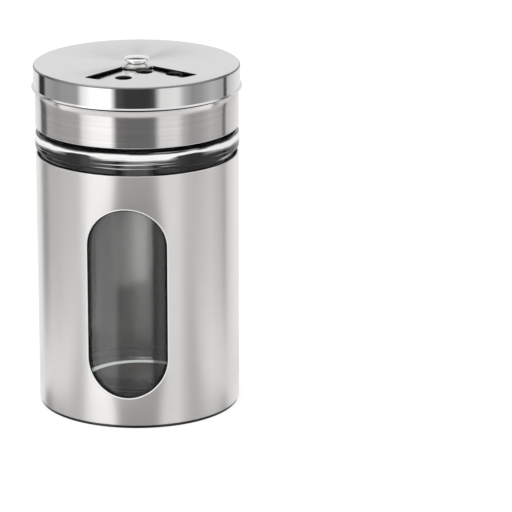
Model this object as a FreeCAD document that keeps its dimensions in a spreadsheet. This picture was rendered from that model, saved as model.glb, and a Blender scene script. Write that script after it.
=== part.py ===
"""Restaurant spice shaker: a glass jar in a steel sleeve, with a screw lid and a turning dial.

Millimetres, +Z up, origin at the centre of the base where it meets the table.
Angles are seen from above, counter-clockwise from +X; the front of the shaker faces -Y.
"""
import FreeCAD
import Part
import Sketcher

import math
import os
import re

# Driving sizes: alias, value, what it is
SIZES = [
    ("sleeve_radius", 31.0, "outside of the steel sleeve"),
    ("sleeve_wall", 0.5, "sheet of the sleeve"),
    ("sleeve_length", 78.55, "sleeve from its lower edge to its upper edge"),
    ("sleeve_round", 0.45, "outer rounding of the sleeve's lower edge"),
    ("view_width", 24.2, "width of the oval window, measured straight across"),
    ("view_sill", 8.55, "sleeve left below the oval window"),
    ("view_head", 10.3, "sleeve left above the oval window"),
    ("view_turn", -4.5, "turn of the oval window away from the front, degrees"),
    ("plate_wall", 0.6, "sheet of the base plate"),
    ("plate_inset", 0.25, "base rim inside the sleeve's outside"),
    ("plate_cup", 4.6, "height of the base plate's upturned wall"),
    ("rim_height", 0.9, "base rim that shows under the sleeve"),
    ("rim_round", 0.5, "rounding of the base rim"),
    ("plate_ring", 4.75, "ring of the base plate that stands on the table"),
    ("recess_depth", 0.4, "how far the middle is raised"),
    ("press_gap", 0.05, "room between pressed pieces"),
    ("jar_gap", 0.15, "room between the jar and the base plate's wall"),
    ("jar_wall", 2.6, "glass wall of the body"),
    ("jar_base", 4.6, "glass at the bottom of the jar"),
    ("jar_heel", 2.5, "outer rounding at the bottom of the jar"),
    ("floor_round", 10.0, "inner rounding at the bottom of the jar"),
    ("bead_gap", 1.8, "glass that shows between sleeve and bead"),
    ("bead_proud", 0.2, "bead of the jar past the sleeve's outside"),
    ("bead_height", 5.3, "height of that bead"),
    ("bead_round", 1.4, "rounding of the bead"),
    ("neck_wall", 3.0, "glass wall of the neck"),
    ("neck_round", 0.8, "rounding between bead and neck"),
    ("lip_round", 1.0, "rounding of the jar's rim"),
    ("shoulder_rise", 7.0, "height of the jar's inner shoulder"),
    ("lid_gap", 1.38, "room between the jar's bead and the lid's skirt"),
    ("lid_wall", 0.5, "sheet of the lid shell"),
    ("skirt_proud", 0.04, "lid's skirt past the sleeve's outside"),
    ("skirt_height", 11.2, "skirt from its lower edge to the top of its shoulder"),
    ("skirt_round", 2.1, "height of the shoulder's rounding"),
    ("drum_gap", 0.49, "room between the drum and the dial around it"),
    ("drum_round", 1.2, "rounding of the drum's upper edge"),
    ("dial_gap", 0.65, "room between the shoulder and the dial's bead"),
    ("dial_proud", 0.45, "dial past the lid's skirt"),
    ("dial_wall", 0.5, "sheet of the dial"),
    ("dial_height", 7.1, "dial from its bead to its flat top"),
    ("dial_round", 0.6, "rounding of the dial's upper edge"),
    ("dial_bead", 0.61, "how far the rolled bead stands out"),
    ("bead_roll", 0.4, "height of the rolled bead"),
    ("deck_gap", 0.65, "room between the dial and the deck"),
    ("fan_angle", 90.0, "opening of the dial, degrees"),
    ("fan_turn", -83.75, "middle of the dial's opening, degrees"),
    ("fan_foot", 0.65, "flat between the boss and the opening"),
    ("fan_rim", 8.09, "flat between the opening and the dial's outside"),
    ("fan_round", 0.9, "rounded corners of the opening"),
    ("boss_radius", 5.75, "foot of the raised boss in the dial"),
    ("boss_slope", 1.45, "width of the boss's rounded side"),
    ("boss_rise", 0.15, "height of that boss"),
    ("large_turn", -72.35, "middle of the large holes, degrees"),
    ("large_spread", 30.2, "large outer holes each side of that, degrees"),
    ("large_outset", 7.7, "large outer holes inside the opening's outer arc"),
    ("large_inset", 2.2, "large inner hole outside the opening's inner arc"),
    ("large_hole", 2.6, "radius of a large hole"),
    ("small_turn", -152.35, "middle of the small holes, degrees"),
    ("small_spread", 14.5, "small outer holes each side of that, degrees"),
    ("small_outset", 7.5, "small outer holes inside the opening's outer arc"),
    ("small_inset", 3.0, "small inner hole outside the opening's inner arc"),
    ("small_hole", 1.4, "radius of a small hole"),
    ("thread_room", 1.2, "room for the thread between neck and liner"),
    ("liner_wall", 2.25, "wall of the liner beside the thread"),
    ("liner_setback", 0.5, "liner inside the skirt's lower edge"),
    ("liner_lead", 0.8, "lead-in chamfer of the liner"),
    ("flange_height", 1.4, "flange at the liner's top"),
    ("flange_reach", 0.8, "flange edge outside the neck's bore"),
    ("seal_height", 1.0, "thickness of the seal"),
    ("seal_gap", 0.3, "room between the seal and the liner's bore"),
    ("seat_gap", 0.05, "room above and below the seal"),
    ("shank_radius", 1.5, "shank of the rivet"),
    ("turn_gap", 0.05, "running clearance of the dial on its rivet"),
    ("head_radius", 3.85, "domed head of the rivet"),
    ("head_under", 1.1, "height of that head below its widest ring"),
    ("head_dome", 0.9, "dome of that head"),
    ("head_lip", 0.45, "how far the head narrows to its foot"),
    ("spacer_gap", 0.4, "room between the spacer washer and the boss's side"),
    ("spring_proud", 0.8, "spring washer past the back washer"),
    ("spring_wall", 0.3, "sheet of the spring washer"),
    ("spring_dish", 0.35, "how far the spring washer is dished"),
    ("back_proud", 1.2, "back washer past the peened end"),
    ("back_height", 0.6, "thickness of the back washer"),
    ("peen_proud", 1.1, "peened end past the shank"),
    ("peen_height", 0.9, "height of the peened end"),
]

# Sizes and heights that follow from the driving ones
PLACES = [
    ("sleeve_bore", "sleeve_radius - sleeve_wall"),
    ("sleeve_top", "rim_height + sleeve_length"),
    ("view_low", "rim_height + view_sill"),
    ("view_high", "sleeve_top - view_head"),
    ("cup_radius", "sleeve_bore - press_gap"),
    ("cup_bore", "cup_radius - plate_wall"),
    ("plate_radius", "sleeve_radius - plate_inset"),
    ("recess_radius", "plate_radius - plate_ring"),
    ("jar_low", "recess_depth + plate_wall"),
    ("jar_radius", "cup_bore - jar_gap"),
    ("jar_bore", "jar_radius - jar_wall"),
    ("jar_floor", "jar_low + jar_base"),
    ("bead_radius", "sleeve_radius + bead_proud"),
    ("bead_low", "sleeve_top + bead_gap"),
    ("bead_high", "bead_low + bead_height"),
    ("skirt_low", "bead_high + lid_gap"),
    ("skirt_high", "skirt_low + skirt_height"),
    ("skirt_radius", "sleeve_radius + skirt_proud"),
    ("skirt_bore", "skirt_radius - lid_wall"),
    ("dial_radius", "skirt_radius + dial_proud"),
    ("dial_bore", "dial_radius - dial_wall"),
    ("drum_radius", "dial_bore - drum_gap"),
    ("drum_bore", "drum_radius - lid_wall"),
    ("dial_low", "skirt_high + dial_gap"),
    ("dial_high", "dial_low + dial_height"),
    ("dial_under", "dial_high - dial_wall"),
    ("deck_high", "dial_under - deck_gap"),
    ("deck_low", "deck_high - lid_wall"),
    ("liner_high", "deck_low - press_gap"),
    ("liner_radius", "drum_bore - press_gap"),
    ("collar_radius", "skirt_bore - press_gap"),
    ("collar_high", "skirt_high - skirt_round - lid_wall"),
    ("liner_low", "skirt_low + liner_setback"),
    ("liner_bore", "liner_radius - liner_wall"),
    ("neck_radius", "liner_bore - thread_room"),
    ("neck_bore", "neck_radius - neck_wall"),
    ("shoulder_low", "bead_high - shoulder_rise"),
    ("shoulder_step", "jar_bore - neck_bore"),
    ("flange_low", "liner_high - flange_height"),
    ("flange_bore", "neck_bore + flange_reach"),
    ("seal_high", "flange_low - seat_gap"),
    ("seal_low", "seal_high - seal_height"),
    ("jar_high", "seal_low - seat_gap"),
    ("fan_inner", "boss_radius + fan_foot"),
    ("fan_outer", "dial_radius - fan_rim"),
    ("large_ring", "fan_outer - large_outset"),
    ("large_inner", "fan_inner + large_inset"),
    ("small_ring", "fan_outer - small_outset"),
    ("small_inner", "fan_inner + small_inset"),
    ("boss_flat", "boss_radius - boss_slope"),
    ("boss_high", "dial_high + boss_rise"),
    ("boss_under", "dial_under + boss_rise"),
    ("pivot_bore", "shank_radius + turn_gap"),
    ("head_low", "boss_high + turn_gap"),
    ("head_rim", "head_low + head_under"),
    ("head_high", "head_rim + head_dome"),
    ("head_foot", "head_radius - head_lip"),
    ("spacer_radius", "boss_flat - spacer_gap"),
    ("spacer_high", "boss_under - turn_gap"),
    ("peen_radius", "shank_radius + peen_proud"),
    ("back_radius", "peen_radius + back_proud"),
    ("spring_radius", "back_radius + spring_proud"),
    ("spring_low", "deck_low - spring_wall - spring_dish"),
    ("back_low", "spring_low - back_height"),
    ("peen_low", "back_low - peen_height"),
]


def fill_sheet(name, rows, formula):
    """A sheet with an alias, a value or formula and, for driving sizes, a note per row."""
    sheet = doc.addObject("Spreadsheet::Sheet", name)
    for number, row in enumerate(rows, start=1):
        sheet.set(f"A{number}", row[0])
        sheet.set(f"B{number}", formula(row[1]))
        sheet.setAlias(f"B{number}", row[0])
        if len(row) > 2:
            sheet.set(f"C{number}", row[2])
    doc.recompute()
    return sheet


def bound(text):
    """An expression in which every alias names its own sheet."""
    return re.sub(r"[a-z]+_[a-z]+", lambda found: OWNER[found[0]] + found[0], text)


def value_of(text):
    """The present value of an expression."""
    return float(sizes.evalExpression(bound(text)))


def new_body(name):
    """A PartDesign body whose label names its piece."""
    body = doc.addObject("PartDesign::Body", name)
    body.Label = name
    return body


def new_sketch(body, role, name):
    """A sketch on one of the body's own origin planes."""
    sketch = body.newObject("Sketcher::SketchObject", name)
    plane = [feature for feature in body.Origin.OriginFeatures if feature.Role == role][0]
    sketch.AttachmentSupport = (plane, [""])
    sketch.MapMode = "FlatFace"
    return sketch


def bind(sketch, constraint, text):
    """Adds a constraint whose value follows an expression."""
    number = sketch.addConstraint(constraint)
    sketch.setExpression(f"Constraints[{number}]", bound(text))


def place_point(sketch, geometry, vertex, across, up):
    """Ties a vertex to two expressions, or to the upright axis where across is zero."""
    if across == "0":
        sketch.addConstraint(Sketcher.Constraint("PointOnObject", geometry, vertex, -2))
    else:
        there = value_of(across)
        bind(sketch, Sketcher.Constraint("DistanceX", -1, 1, geometry, vertex, there), across)
    if up == "0":
        sketch.addConstraint(Sketcher.Constraint("PointOnObject", geometry, vertex, -1))
    else:
        there = value_of(up)
        bind(sketch, Sketcher.Constraint("DistanceY", -1, 1, geometry, vertex, there), up)


def arc_between(first, last, radius, bend):
    """An arc of under a half circle; bend is left or right of the way from first to last."""
    chord = last - first
    side = FreeCAD.Vector(-chord.y, chord.x, 0).normalize()
    if bend == "right":
        side = side * -1
    drop = math.sqrt(max(radius ** 2 - (chord.Length / 2) ** 2, 0))
    centre = (first + last) * 0.5 + side * drop
    circle = Part.Circle(centre, FreeCAD.Vector(0, 0, 1), radius)
    if bend == "right":
        first, last = last, first
    start = math.atan2(first.y - centre.y, first.x - centre.x)
    end = math.atan2(last.y - centre.y, last.x - centre.x)
    return Part.ArcOfCircle(circle, start, end if end > start else end + 2 * math.pi)


def outline(sketch, corners):
    """A closed outline. A corner is its two expressions, and where an arc leads on from it,
    also the arc's radius and the side its centre is on."""
    points = [FreeCAD.Vector(value_of(corner[0]), value_of(corner[1]), 0) for corner in corners]
    ends = []
    for number, corner in enumerate(corners):
        first = points[number]
        last = points[(number + 1) % len(points)]
        if len(corner) == 2:
            geometry = sketch.addGeometry(Part.LineSegment(first, last))
            ends.append((geometry, 1, 2))
            continue
        geometry = sketch.addGeometry(arc_between(first, last, value_of(corner[2]), corner[3]))
        ends.append((geometry, 1, 2) if corner[3] == "left" else (geometry, 2, 1))
    for number, (geometry, near, far) in enumerate(ends):
        after, start, end = ends[(number + 1) % len(ends)]
        sketch.addConstraint(Sketcher.Constraint("Coincident", geometry, far, after, start))
        place_point(sketch, geometry, near, corners[number][0], corners[number][1])
    for (geometry, near, far), corner in zip(ends, corners):
        if len(corner) == 4:
            bind(sketch, Sketcher.Constraint("Radius", geometry, value_of(corner[2])), corner[2])


def turned(name, corners):
    """A body of one piece turned from its half section about the upright axis."""
    body = new_body(name)
    sketch = new_sketch(body, "XZ_Plane", f"{name}_section")
    outline(sketch, corners)
    turn = body.newObject("PartDesign::Revolution", f"{name}_turn")
    turn.Profile = sketch
    turn.ReferenceAxis = (sketch, ["V_Axis"])
    turn.Angle = 360
    sketch.Visibility = False
    doc.recompute()
    return body


def cut_through(body, sketch, name, upwards=True):
    """Cuts a sketch right through the body to one side, and checks that it removed something."""
    before = body.Shape.Volume
    pocket = body.newObject("PartDesign::Pocket", name)
    pocket.Profile = sketch
    pocket.Type = "ThroughAll"
    pocket.Reversed = upwards
    sketch.Visibility = False
    doc.recompute()
    if body.Shape.Volume > before - 0.01:
        raise ValueError(f"{name} removed nothing")
    return pocket


def add_hole(sketch, ring, angle, radius):
    """A round hole at a radius and an angle from the upright axis."""
    across = f"{ring} * cos(({angle}) * 1deg)"
    along = f"{ring} * sin(({angle}) * 1deg)"
    centre = FreeCAD.Vector(value_of(across), value_of(along), 0)
    circle = sketch.addGeometry(Part.Circle(centre, FreeCAD.Vector(0, 0, 1), value_of(radius)))
    place_point(sketch, circle, 3, across, along)
    bind(sketch, Sketcher.Constraint("Radius", circle, value_of(radius)), radius)


def make_base_plate():
    """Stamped dish: raised middle, rounded rim under the sleeve, upturned wall inside it."""
    return turned("base_plate", [
        ("0", "recess_depth"),
        ("recess_radius", "recess_depth"),
        ("recess_radius + recess_depth", "0"),
        ("plate_radius - rim_round", "0", "rim_round", "left"),
        ("plate_radius", "rim_round"),
        ("plate_radius", "rim_height"),
        ("cup_radius", "rim_height"),
        ("cup_radius", "plate_cup"),
        ("cup_bore", "plate_cup"),
        ("cup_bore", "plate_wall"),
        ("recess_radius + recess_depth", "plate_wall"),
        ("recess_radius", "jar_low"),
        ("0", "jar_low"),
    ])


def make_outer_sleeve():
    """Steel tube with a rounded lower edge and one oval window."""
    body = turned("outer_sleeve", [
        ("sleeve_bore", "rim_height"),
        ("sleeve_radius - sleeve_round", "rim_height", "sleeve_round", "left"),
        ("sleeve_radius", "rim_height + sleeve_round"),
        ("sleeve_radius", "sleeve_top"),
        ("sleeve_bore", "sleeve_top"),
    ])
    half = "view_width / 2"
    sketch = new_sketch(body, "XZ_Plane", "oval_window")
    outline(sketch, [
        (f"0 - {half}", f"view_high - {half}"),
        (f"0 - {half}", f"view_low + {half}", half, "left"),
        ("0", "view_low", half, "left"),
        (half, f"view_low + {half}"),
        (half, f"view_high - {half}", half, "left"),
        ("0", "view_high", half, "left"),
    ])
    cut_through(body, sketch, "oval_window_cut")
    body.setExpression("Placement.Rotation.Angle", bound("view_turn * 1deg"))
    return body


def make_glass_jar():
    """Thick-floored jar with a bead over the sleeve and a plain neck inside the lid."""
    bend = "((shoulder_rise / 2) ^ 2 + (shoulder_step / 2) ^ 2) / shoulder_step"
    return turned("glass_jar", [
        ("0", "jar_low"),
        ("jar_radius - jar_heel", "jar_low", "jar_heel", "left"),
        ("jar_radius", "jar_low + jar_heel"),
        ("jar_radius", "bead_low"),
        ("bead_radius - bead_round", "bead_low", "bead_round", "left"),
        ("bead_radius", "bead_low + bead_round"),
        ("bead_radius", "bead_high - bead_round", "bead_round", "left"),
        ("bead_radius - bead_round", "bead_high"),
        ("neck_radius + neck_round", "bead_high", "neck_round", "right"),
        ("neck_radius", "bead_high + neck_round"),
        ("neck_radius", "jar_high - lip_round", "lip_round", "left"),
        ("neck_radius - lip_round", "jar_high"),
        ("neck_bore + lip_round", "jar_high", "lip_round", "left"),
        ("neck_bore", "jar_high - lip_round"),
        ("neck_bore", "bead_high", bend, "left"),
        ("neck_bore + shoulder_step / 2", "bead_high - shoulder_rise / 2", bend, "right"),
        ("jar_bore", "shoulder_low"),
        ("jar_bore", "jar_floor + floor_round", "floor_round", "right"),
        ("jar_bore - floor_round", "jar_floor"),
        ("0", "jar_floor"),
    ])


def make_lid_shell():
    """Drawn cap: skirt, rounded shoulder, narrower drum and the deck with its two sets of holes."""
    step = "(skirt_radius - drum_radius)"
    bend = f"(skirt_round ^ 2 + {step} ^ 2) / (2 * {step})"
    body = turned("lid_shell", [
        ("pivot_bore", "deck_low"),
        ("drum_bore - drum_round + lid_wall", "deck_low", "drum_round - lid_wall", "right"),
        ("drum_bore", "deck_low - drum_round + lid_wall"),
        ("drum_bore", "skirt_high - lid_wall"),
        ("skirt_bore", "skirt_high - skirt_round - lid_wall"),
        ("skirt_bore", "skirt_low"),
        ("skirt_radius", "skirt_low"),
        ("skirt_radius", "skirt_high - skirt_round", bend, "left"),
        ("drum_radius", "skirt_high"),
        ("drum_radius", "deck_high - drum_round", "drum_round", "left"),
        ("drum_radius - drum_round", "deck_high"),
        ("pivot_bore", "deck_high"),
    ])
    for size in ("large", "small"):
        sketch = new_sketch(body, "XY_Plane", f"{size}_holes")
        add_hole(sketch, f"{size}_ring", f"{size}_turn - {size}_spread", f"{size}_hole")
        add_hole(sketch, f"{size}_inner", f"{size}_turn", f"{size}_hole")
        add_hole(sketch, f"{size}_ring", f"{size}_turn + {size}_spread", f"{size}_hole")
        cut_through(body, sketch, f"{size}_holes_cut")
    return body


def make_thread_liner():
    """Plastic insert: a collar in the skirt, a tube in the drum and a flange over the seal."""
    return turned("thread_liner", [
        ("liner_bore + liner_lead", "liner_low"),
        ("collar_radius", "liner_low"),
        ("collar_radius", "collar_high"),
        ("liner_radius", "collar_high"),
        ("liner_radius", "liner_high - drum_round"),
        ("liner_radius - drum_round", "liner_high"),
        ("flange_bore", "liner_high"),
        ("flange_bore", "flange_low"),
        ("liner_bore", "flange_low"),
        ("liner_bore", "liner_low + liner_lead"),
    ])


def make_seal_ring():
    """Soft flat ring on the jar's rim."""
    return turned("seal_ring", [
        ("neck_bore + seal_gap", "seal_low"),
        ("liner_bore - seal_gap", "seal_low"),
        ("liner_bore - seal_gap", "seal_high"),
        ("neck_bore + seal_gap", "seal_high"),
    ])


def make_rotating_cover():
    """Drawn dial: rolled bead, straight wall, flat top with a raised boss and a fan-shaped opening."""
    bend = "(boss_rise ^ 2 + boss_slope ^ 2) / (2 * boss_rise)"
    inside = "dial_round - dial_wall"
    body = turned("rotating_cover", [
        ("pivot_bore", "boss_under"),
        ("boss_flat - dial_wall / 2", "boss_under", bend, "right"),
        ("boss_radius - dial_wall / 2", "dial_under"),
        (f"dial_bore - ({inside})", "dial_under", inside, "right"),
        ("dial_bore", f"dial_under - ({inside})"),
        ("dial_bore", "dial_low"),
        ("dial_radius + dial_bead - bead_roll / 2", "dial_low", "bead_roll / 2", "left"),
        ("dial_radius + dial_bead", "dial_low + bead_roll / 2", "bead_roll / 2", "left"),
        ("dial_radius + dial_bead - bead_roll / 2", "dial_low + bead_roll"),
        ("dial_radius", "dial_low + bead_roll"),
        ("dial_radius", "dial_high - dial_round", "dial_round", "left"),
        ("dial_radius - dial_round", "dial_high"),
        ("boss_radius", "dial_high", bend, "left"),
        ("boss_flat", "boss_high"),
        ("pivot_bore", "boss_high"),
    ])
    near = "(fan_turn - fan_angle / 2) * 1deg"
    far = "(fan_turn + fan_angle / 2) * 1deg"
    sketch = new_sketch(body, "XY_Plane", "fan_opening")
    outline(sketch, [
        (f"fan_inner * cos( {near} )", f"fan_inner * sin( {near} )"),
        (f"fan_outer * cos( {near} )", f"fan_outer * sin( {near} )", "fan_outer", "left"),
        (f"fan_outer * cos( {far} )", f"fan_outer * sin( {far} )"),
        (f"fan_inner * cos( {far} )", f"fan_inner * sin( {far} )", "fan_inner", "right"),
    ])
    cut = cut_through(body, sketch, "fan_opening_cut")
    corners = []
    for number, edge in enumerate(cut.Shape.Edges, start=1):
        upright = edge.Curve.TypeId == "Part::GeomLine" and abs(edge.tangentAt(edge.FirstParameter).z) > 0.99
        if upright and edge.Length < 2 * value_of("dial_wall"):
            corners.append(f"Edge{number}")
    rounding = body.newObject("PartDesign::Fillet", "fan_opening_corners")
    rounding.Base = (cut, corners)
    rounding.setExpression("Radius", bound("fan_round"))
    doc.recompute()
    return body


def make_pivot_rivet():
    """Domed button on a plain shank, its lower end peened over the back washer."""
    dome = "(head_radius ^ 2 + head_dome ^ 2) / (2 * head_dome)"
    peen = "(peen_radius ^ 2 + peen_height ^ 2) / (2 * peen_height)"
    return turned("pivot_rivet", [
        ("0", "peen_low", peen, "left"),
        ("peen_radius", "back_low"),
        ("shank_radius", "back_low"),
        ("shank_radius", "head_low"),
        ("head_foot", "head_low"),
        ("head_radius", "head_rim", dome, "left"),
        ("0", "head_high"),
    ])


def make_spacer_washer():
    """Flat washer in the hollow of the boss, standing on the deck."""
    return turned("spacer_washer", [
        ("pivot_bore", "deck_high"),
        ("spacer_radius", "deck_high"),
        ("spacer_radius", "spacer_high"),
        ("pivot_bore", "spacer_high"),
    ])


def make_spring_washer():
    """Dished washer between the deck and the back washer."""
    return turned("spring_washer", [
        ("pivot_bore", "spring_low"),
        ("pivot_bore + spring_wall", "spring_low"),
        ("spring_radius", "deck_low - spring_wall"),
        ("spring_radius", "deck_low"),
        ("spring_radius - spring_wall", "deck_low"),
        ("pivot_bore", "spring_low + spring_wall"),
    ])


def make_back_washer():
    """Flat washer that the rivet is peened over."""
    return turned("back_washer", [
        ("pivot_bore", "back_low"),
        ("back_radius", "back_low"),
        ("back_radius", "spring_low"),
        ("pivot_bore", "spring_low"),
    ])


def check_document():
    """Stops on any object that failed to build."""
    for item in doc.Objects:
        if "Invalid" in item.State or "Error" in item.State:
            raise ValueError(f"{item.Label} did not build: {item.State}")


def write_piece(body):
    """Writes one piece, after a look at its shape."""
    if body.Shape.isNull() or not body.Shape.isValid() or len(body.Shape.Solids) != 1:
        raise ValueError(f"{body.Label} is not one valid solid")
    body.Shape.exportStep(f"parts/{body.Label}.step")
    print(f"{body.Label}: {body.Shape.Volume:.1f} mm3")


doc = FreeCAD.newDocument("spice_shaker")
OWNER = {row[0]: "sizes." for row in SIZES}
sizes = fill_sheet("sizes", SIZES, str)
OWNER.update({row[0]: "places." for row in PLACES})
places = fill_sheet("places", PLACES, lambda text: "=" + bound(text).replace("places.", ""))

pieces = [
    make_base_plate(),
    make_outer_sleeve(),
    make_glass_jar(),
    make_lid_shell(),
    make_thread_liner(),
    make_seal_ring(),
    make_rotating_cover(),
    make_pivot_rivet(),
    make_spacer_washer(),
    make_spring_washer(),
    make_back_washer(),
]
doc.recompute()
check_document()
os.makedirs("parts", exist_ok=True)
for piece in pieces:
    write_piece(piece)
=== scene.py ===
import math

import bmesh
import bpy
from mathutils import Matrix, Vector


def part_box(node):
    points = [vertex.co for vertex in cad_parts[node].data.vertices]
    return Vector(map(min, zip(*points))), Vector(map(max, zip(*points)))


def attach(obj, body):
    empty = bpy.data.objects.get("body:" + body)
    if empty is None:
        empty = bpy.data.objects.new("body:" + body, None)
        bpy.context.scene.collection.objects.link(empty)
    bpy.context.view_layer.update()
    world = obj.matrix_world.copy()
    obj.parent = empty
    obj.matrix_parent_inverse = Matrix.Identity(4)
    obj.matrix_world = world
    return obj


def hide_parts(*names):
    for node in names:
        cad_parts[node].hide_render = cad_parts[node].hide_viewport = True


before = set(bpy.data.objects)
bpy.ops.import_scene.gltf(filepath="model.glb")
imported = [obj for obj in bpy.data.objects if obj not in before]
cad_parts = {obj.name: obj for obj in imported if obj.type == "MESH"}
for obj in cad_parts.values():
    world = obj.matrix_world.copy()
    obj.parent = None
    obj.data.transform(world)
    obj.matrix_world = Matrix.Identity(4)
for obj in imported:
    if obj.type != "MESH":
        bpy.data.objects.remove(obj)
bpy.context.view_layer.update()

# Lengths in metres, angles in radians; heights come from the frame where a node gives them
MM = 0.001
TURN = 2 * math.pi
SEGMENTS = 256
ARC_STEP = math.radians(12)
SHEET = 0.5 * MM
EDGE = 0.12 * MM
# The window's rim bead, which takes a painted highlight, and the dark line inside it, a bead of painted shade
RIM = 0.24 * MM
RIM_DEPTH = 0.8 * RIM
SHADE_LINE = 0.25 * MM

# Camera
CAMERA_PLACE = (0.036293, -1.035706, 0.356153)
CAMERA_PITCH = 0.29136
CAMERA_LENS = 246.2

# Oval window of the sleeve
VIEW_TURN = math.radians(-4.9)
VIEW_WIDTH = 24.7 * MM
VIEW_SILL = 8.55 * MM
VIEW_HEAD = 10.3 * MM

# Dial and its opening
FAN_MIDDLE = math.radians(-83.75)
FAN_ANGLE = math.radians(90)
FAN_INNER = 6.4 * MM
FAN_OUTER = 24.1 * MM
FAN_ROUND = 0.6 * MM
BOSS_RISE = 0.15 * MM
BOSS_FOOT = 5.75 * MM
BOSS_FLAT = 4.3 * MM
BEAD_ROLL = 0.4 * MM
DIAL_RADIUS = 31.49 * MM
DIAL_ROUND = 0.6 * MM
PIVOT_BORE = 1.55 * MM

# Holes of the deck: middle of a set, spread, outer circle, inner circle, radius of a hole
LARGE_HOLES = (math.radians(-72.35), math.radians(30.2), 15.7 * MM, 8.6 * MM, 2.6 * MM)
SMALL_HOLES = (math.radians(-152.35), math.radians(14.5), 15.9 * MM, 9.4 * MM, 1.4 * MM)

# Lid shell
DRUM_RADIUS = 30.5 * MM
DRUM_ROUND = 1.2 * MM
SHOULDER_HEIGHT = 2.1 * MM
SHOULDER_TOP = 11.2 * MM
CROWN = 0.35 * MM
CROWN_FOOT = 5.6 * MM
CROWN_SEAT = 4.4 * MM
DECK_EDGE = 28 * MM
LIP = 0.25 * MM

# Glass jar
JAR_WALL = 2.6 * MM
JAR_BASE = 4.6 * MM
JAR_RADIUS = 29.7 * MM
JAR_HEEL = 2.5 * MM
FLOOR_ROUND = 10.0 * MM
BEAD_HEIGHT = 5.3 * MM
BEAD_LOW = 81.25 * MM
BEAD_ROUND = 1.4 * MM
SHOULDER_ROUND = 5 * MM
NECK_FOOT = 0.8 * MM
NECK_RADIUS = 26.5 * MM
NECK_WALL = 3.0 * MM

# Screw thread of neck and liner
LEAD = 4.0 * MM
THREAD_TURNS = 1.5
THREAD_HALF = 0.8 * MM
THREAD_DEPTH = 0.9 * MM
THREAD_START = 90.4 * MM
THREAD_FADE = 0.06
THREAD_FULLNESS = 1.6
RING_STEP = 0.2 * MM

# Bends of stamped sheet, outside and inside, and the edges of moulded pieces
BEND = 0.5 * MM
INNER_BEND = 0.4 * MM
MOULD_EDGE = 0.2 * MM

# Steps of the rounded outlines and of the bevels
WINDOW_STEPS = 48
RIM_SIDES = 12
HOLE_STEPS = 48
FAN_STEPS = 40
FAN_CORNER_STEPS = 6
BEVEL_STEPS = 3
SHARP_ANGLE = math.radians(50)

# Material places of a piece's cut faces, its faces of painted shade (near black where shade falls), and its
# deck or top edge; the fourth place, its lip, holds painted light
CUT_FACES = 1
PAINTED_SHADE_FACES = 2
DECK_FACES = 3
LIP_FACES = 4


def arc(centre, radius, start, end):
    """Points of an arc in the section, its ends included; the centre is (radius, height)."""
    count = max(2, math.ceil(abs(end - start) / ARC_STEP))
    points = []
    for number in range(count + 1):
        angle = start + (end - start) * number / count
        points.append((centre[0] + radius * math.cos(angle), centre[1] + radius * math.sin(angle)))
    return points


def rounded(corners, closed=True):
    """A section from corners (radius, height) or (radius, height, rounding)."""
    points = []
    count = len(corners)
    for number, corner in enumerate(corners):
        here = Vector(corner[:2])
        if len(corner) == 2 or (not closed and number in (0, count - 1)):
            points.append(tuple(here))
            continue
        back = Vector(corners[number - 1][:2]) - here
        ahead = Vector(corners[(number + 1) % count][:2]) - here
        half = back.angle(ahead) / 2
        run = min(corner[2] / math.tan(half), 0.49 * back.length, 0.49 * ahead.length)
        radius = run * math.tan(half)
        centre = here + (back.normalized() + ahead.normalized()).normalized() * (radius / math.sin(half))
        first = here + back.normalized() * run - centre
        last = here + ahead.normalized() * run - centre
        start = math.atan2(first.y, first.x)
        sweep = math.atan2(last.y, last.x) - start
        sweep = (sweep + math.pi) % TURN - math.pi
        points.extend(arc(centre, radius, start, start + sweep))
    return points


def divided(first, last, step):
    """Points on a straight side, closely spaced for a thread, its ends left out."""
    count = max(2, round((Vector(last) - Vector(first)).length / step))
    return [tuple(Vector(first).lerp(Vector(last), number / count)) for number in range(1, count)]


def turned(name, section, closed=True, relief=None):
    """A mesh turned about the upright axis; relief moves a point in or out by its angle and place."""
    mesh = bmesh.new()
    rings = []
    for radius, height in section:
        if radius < EDGE / 10:
            rings.append([mesh.verts.new((0, 0, height))] * SEGMENTS)
            continue
        ring = []
        for number in range(SEGMENTS):
            angle = TURN * number / SEGMENTS
            reach = radius + (relief(angle, radius, height) if relief else 0)
            ring.append(mesh.verts.new((reach * math.cos(angle), reach * math.sin(angle), height)))
        rings.append(ring)
    pairs = list(zip(rings, rings[1:])) + ([(rings[-1], rings[0])] if closed else [])
    for low, high in pairs:
        for number in range(SEGMENTS):
            after = (number + 1) % SEGMENTS
            corners = [low[number], low[after], high[after], high[number]]
            mesh.faces.new(list(dict.fromkeys(corners)))
    return finished_mesh(name, mesh)


def prism(name, outline, low, high):
    """An upright prism over an outline, used only to cut with."""
    mesh = bmesh.new()
    floor = [mesh.verts.new((x, y, low)) for x, y in outline]
    roof = [mesh.verts.new((x, y, high)) for x, y in outline]
    mesh.faces.new(floor)
    mesh.faces.new(roof)
    for number in range(len(outline)):
        after = (number + 1) % len(outline)
        mesh.faces.new([floor[number], floor[after], roof[after], roof[number]])
    for face in mesh.faces:
        face.material_index = CUT_FACES
    return finished_mesh(name, mesh)


def finished_mesh(name, mesh):
    """Closes a bmesh into a smooth object with outward faces."""
    bmesh.ops.recalc_face_normals(mesh, faces=mesh.faces)
    data = bpy.data.meshes.new(name)
    mesh.to_mesh(data)
    mesh.free()
    data.shade_smooth()
    piece = bpy.data.objects.new(name, data)
    bpy.context.scene.collection.objects.link(piece)
    return piece


def applied(piece):
    """Turns the piece's modifiers into its mesh."""
    depsgraph = bpy.context.evaluated_depsgraph_get()
    data = bpy.data.meshes.new_from_object(piece.evaluated_get(depsgraph), depsgraph=depsgraph)
    piece.modifiers.clear()
    piece.data = data
    return piece


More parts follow.
